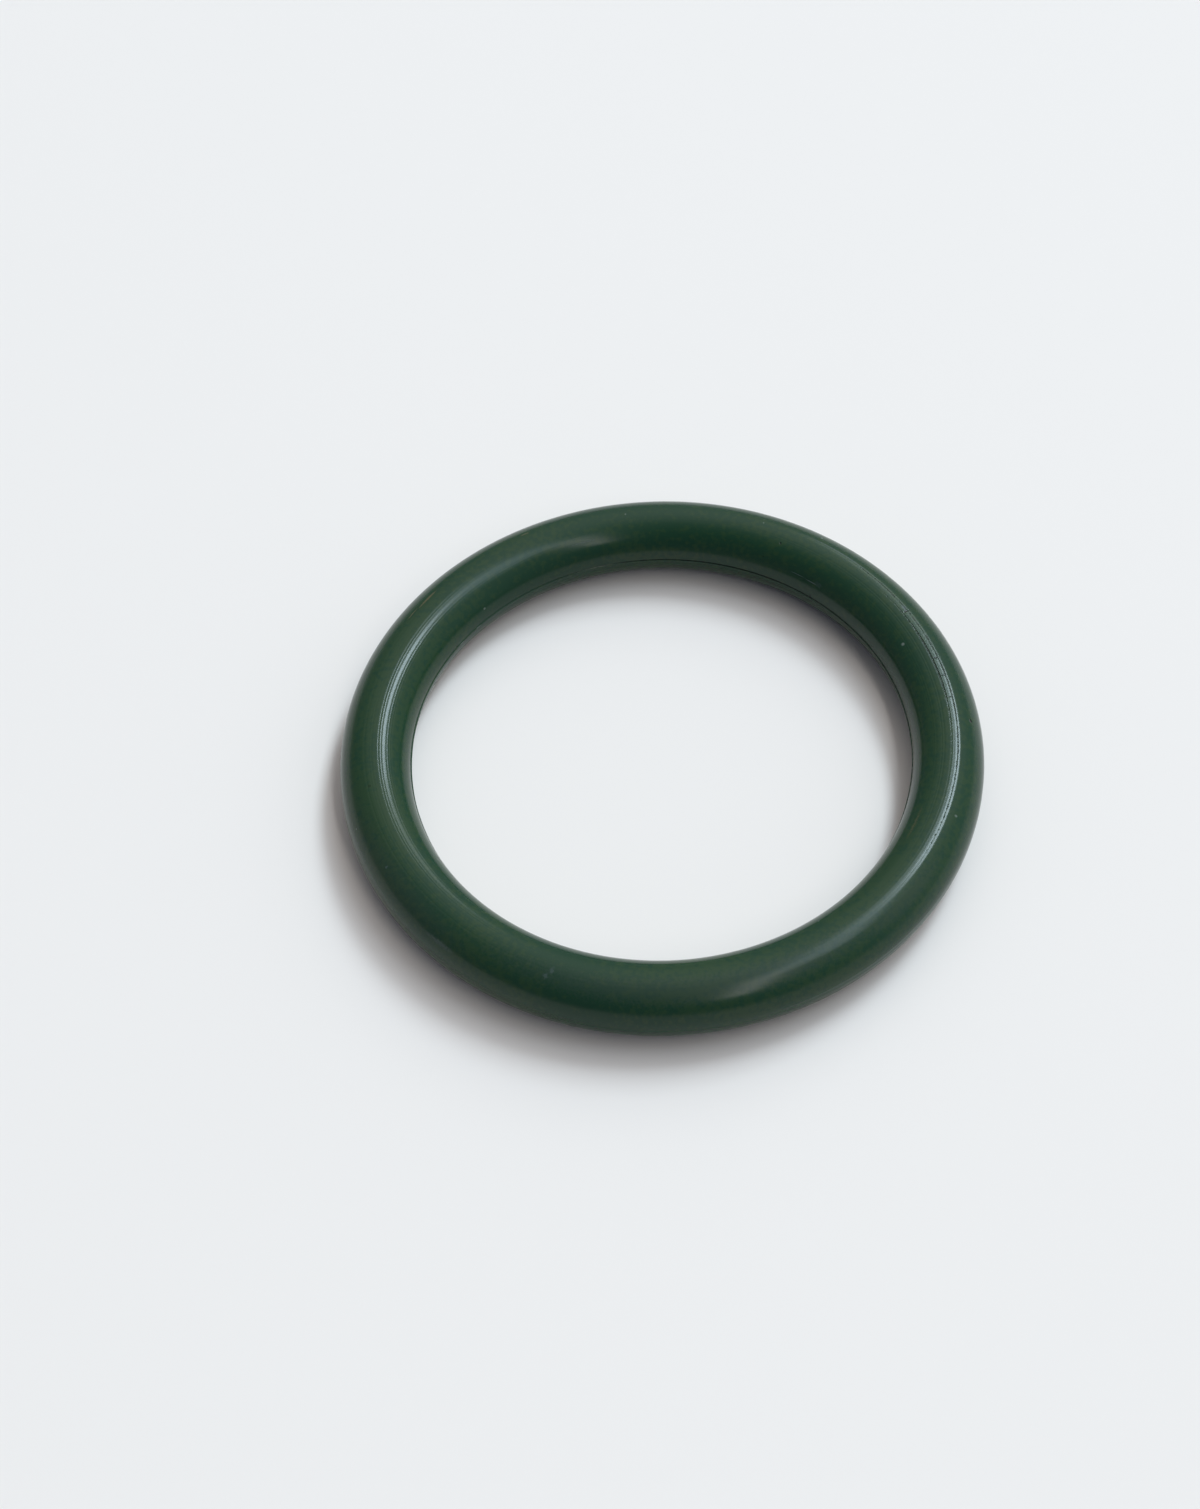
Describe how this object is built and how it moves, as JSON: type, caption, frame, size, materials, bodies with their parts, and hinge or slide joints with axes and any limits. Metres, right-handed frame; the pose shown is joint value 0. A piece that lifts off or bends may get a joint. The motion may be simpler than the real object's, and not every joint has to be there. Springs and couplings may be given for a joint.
{
  "type": "o-ring",
  "caption": "Dark green rubber o-ring of round section with a trimmed parting line, sealing a rod, spigot or bore in a groove.",
  "frame": {"origin": "centre of the ring, halfway through its thickness, in the plane of the parting line", "axes": "+Z along the ring's axis; the ring lies flat in the XY plane and is the same all round"},
  "size_m": [0.032, 0.032, 0.0036],
  "materials": {
    "green_rubber": "satin"
  },
  "bodies": {
    "root": {"o_ring": "green_rubber"}
  },
  "joints": []
}
